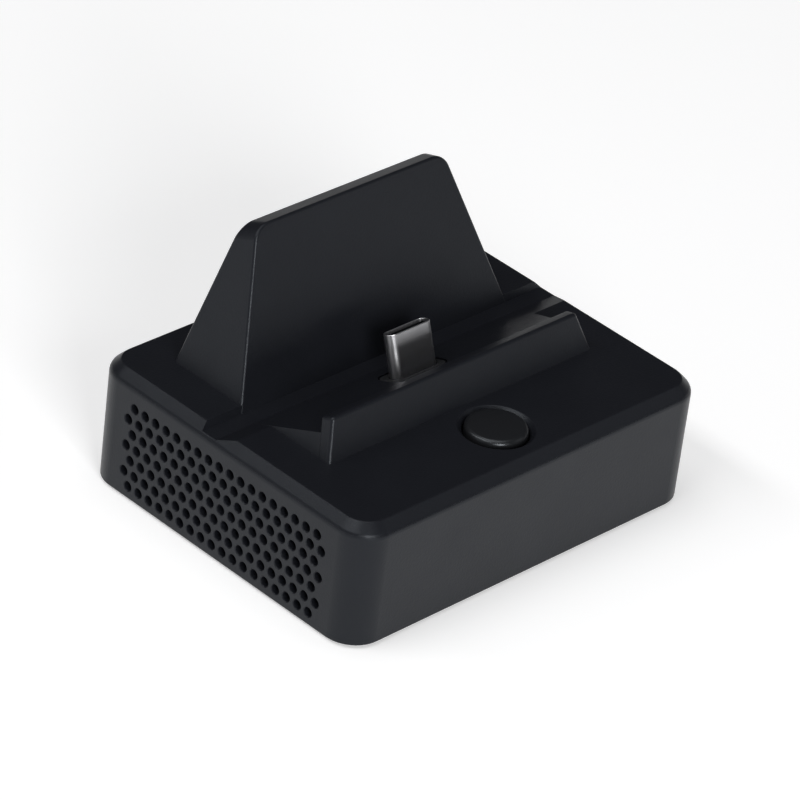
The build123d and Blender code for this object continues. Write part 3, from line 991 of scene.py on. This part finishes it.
# Button and switch: a round cap with a low satin dome and a square stem, caught under the deck by
# two tabs. It stands on a push switch, whose spring returns it.
cap_radius = 4.6 * MM
cap_top = button_high[2]
cap_tip = 0.02 * MM
cap_sharp_angle = 40
dome_radius = 3.8 * MM
dome_rise = 0.1 * MM
dome_steps = 8
shoulder_steps = 8
shoulder_drop = 0.75 * MM
tab_width = 3.0 * MM
tab_height = 0.8 * MM
tab_gap = 0.3 * MM
stem_size = 3.0 * MM
cap_black = (0.0095, 0.01, 0.0112)
button_plastic = moulded_finish(
    "button_plastic", cap_black, roughness=0.31, grain=0.5 * MM, depth=0.003 * MM, specular=0.5)
cap_under = deck_under - tab_gap - tab_height
dome_edge_z = cap_top - dome_rise
cap_section = [(cap_radius, cap_under), (cap_radius, dome_edge_z - shoulder_drop)]
for step in range(1, shoulder_steps + 1):
    turn = math.pi / 2 * step / shoulder_steps
    cap_section.append((dome_radius + (cap_radius - dome_radius) * math.cos(turn),
                        dome_edge_z - shoulder_drop * (1 - math.sin(turn))))
for step in range(1, dome_steps):
    share = 1 - step / dome_steps
    cap_section.append((dome_radius * share, cap_top - dome_rise * share * share))
cap_section.append((cap_tip, cap_top))
shape = bmesh.new()
skin(shape, turned(cap_section, button_y, round_steps))
cap = to_object("mode_button", shape, button_plastic)
for width, depth, low_z, high_z in (
    (stem_size, stem_size, button_low[2], cap_under + tab_height),
    (button_high[0] - button_low[0], tab_width, cap_under, cap_under + tab_height),
):
    sides = rectangle(width, depth, 0, button_y)
    combine(cap, upright_block("cap_foot", sides, low_z, high_z), "UNION")
smooth(cap, cap_sharp_angle)
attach(cap, "button")
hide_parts("button_cap")
dress("switch_body", core_plastic)
dress("switch_plunger", core_plastic)

# Studio: a pale floor that runs off to white, a broad soft box overhead, a long one and a weak low
# one on the left, one in front and a faint fill on the right. The camera stands at the
# photograph's viewing angle.
floor_half = 4.0
floor_white = 0.85
floor_glow = 0.36
shape = bmesh.new()
shape.faces.new([shape.verts.new((x, y, 0)) for x, y in rectangle(2 * floor_half, 2 * floor_half)])
floor = to_object("studio_floor", shape)
floor_paper = bpy.data.materials.new("floor_paper")
floor_paper.use_nodes = True
paper_tree = floor_paper.node_tree
paper = paper_tree.nodes["Principled BSDF"]
paper.inputs["Base Color"].default_value = (floor_white, floor_white, floor_white, 1)
paper.inputs["Roughness"].default_value = 1.0
paper.inputs["Specular IOR Level"].default_value = 0.0
paper.inputs["Emission Color"].default_value = (1, 1, 1, 1)
seen = Field.node(paper_tree, "ShaderNodeLightPath", output="Is Camera Ray")
for ray in ("Is Glossy Ray", "Is Transmission Ray"):
    seen = seen + Field.node(paper_tree, "ShaderNodeLightPath", output=ray)
glow = seen.above(0.5) * floor_glow
paper_tree.links.new(glow.socket, paper.inputs["Emission Strength"])
floor.data.materials.append(floor_paper)

# The sky is white at the horizon and dark grey above it
horizon_white = (1, 1, 1, 1)
horizon_top = 0.02
upper_grey = (0.04, 0.04, 0.044, 1)
upper_start = 0.09
world = bpy.data.worlds.new("studio")
world.use_nodes = True
bpy.context.scene.world = world
sky_tree = world.node_tree
direction = Field.node(sky_tree, "ShaderNodeTexCoord", output="Generated")
rise = Field.node(sky_tree, "ShaderNodeSeparateXYZ", None, {"Vector": direction}, output="Z")
sky = Field.node(sky_tree, "ShaderNodeValToRGB", {
    "stops": [(horizon_top, horizon_white), (upper_start, upper_grey)],
}, {"Fac": rise})
sky_tree.links.new(sky.socket, sky_tree.nodes["Background"].inputs["Color"])


def soft_box(name, place, target, size, power):
    """A rectangular lamp that faces its target."""
    lamp = bpy.data.lights.new(name, "AREA")
    lamp.shape = "RECTANGLE"
    lamp.size = size[0]
    lamp.size_y = size[1]
    lamp.energy = power
    holder = bpy.data.objects.new(name, lamp)
    holder.location = place
    holder.rotation_mode = "QUATERNION"
    holder.rotation_quaternion = (Vector(target) - Vector(place)).to_track_quat("-Z", "Y")
    bpy.context.scene.collection.objects.link(holder)


dock_middle = (0, 0, 0.02)
soft_box("overhead", (-0.1, 0.1, 1.6), dock_middle, size=(1.1, 1.1), power=7.5)
soft_box("left_bank", (-0.96, 0.45, 1.36), (0, 0.45, 0.02), size=(1.7, 0.3), power=9.5)
soft_box("left_panel", (-1.08, 0.6, 0.33), (0, 0.2, 0.1), size=(1.4, 0.62), power=0.8)
soft_box("front_box", (-0.518, -1.017, 0.508), dock_middle, size=(0.45, 0.5), power=9.0)
soft_box("right_fill", (0.69, -0.6, 0.62), dock_middle, size=(0.5, 0.5), power=0.36)

camera_place = Vector((-0.4352, -0.3923, 0.3877))
camera_target = Vector((0, 0, 0.0145))
camera_roll = math.radians(7.3)
picture_share = 0.78
dock_spread = math.radians(7.3)
lens = bpy.data.cameras.new("camera")
lens.sensor_fit = "HORIZONTAL"
lens.angle = dock_spread / picture_share
lens.clip_start = 0.01
camera = bpy.data.objects.new("camera", lens)
camera.location = camera_place
camera.rotation_mode = "QUATERNION"
level = (camera_target - camera_place).to_track_quat("-Z", "Y")
camera.rotation_quaternion = level @ Quaternion((0, 0, 1), camera_roll)
bpy.context.scene.collection.objects.link(camera)
bpy.context.scene.camera = camera
bpy.context.scene.view_settings.view_transform = "Standard"
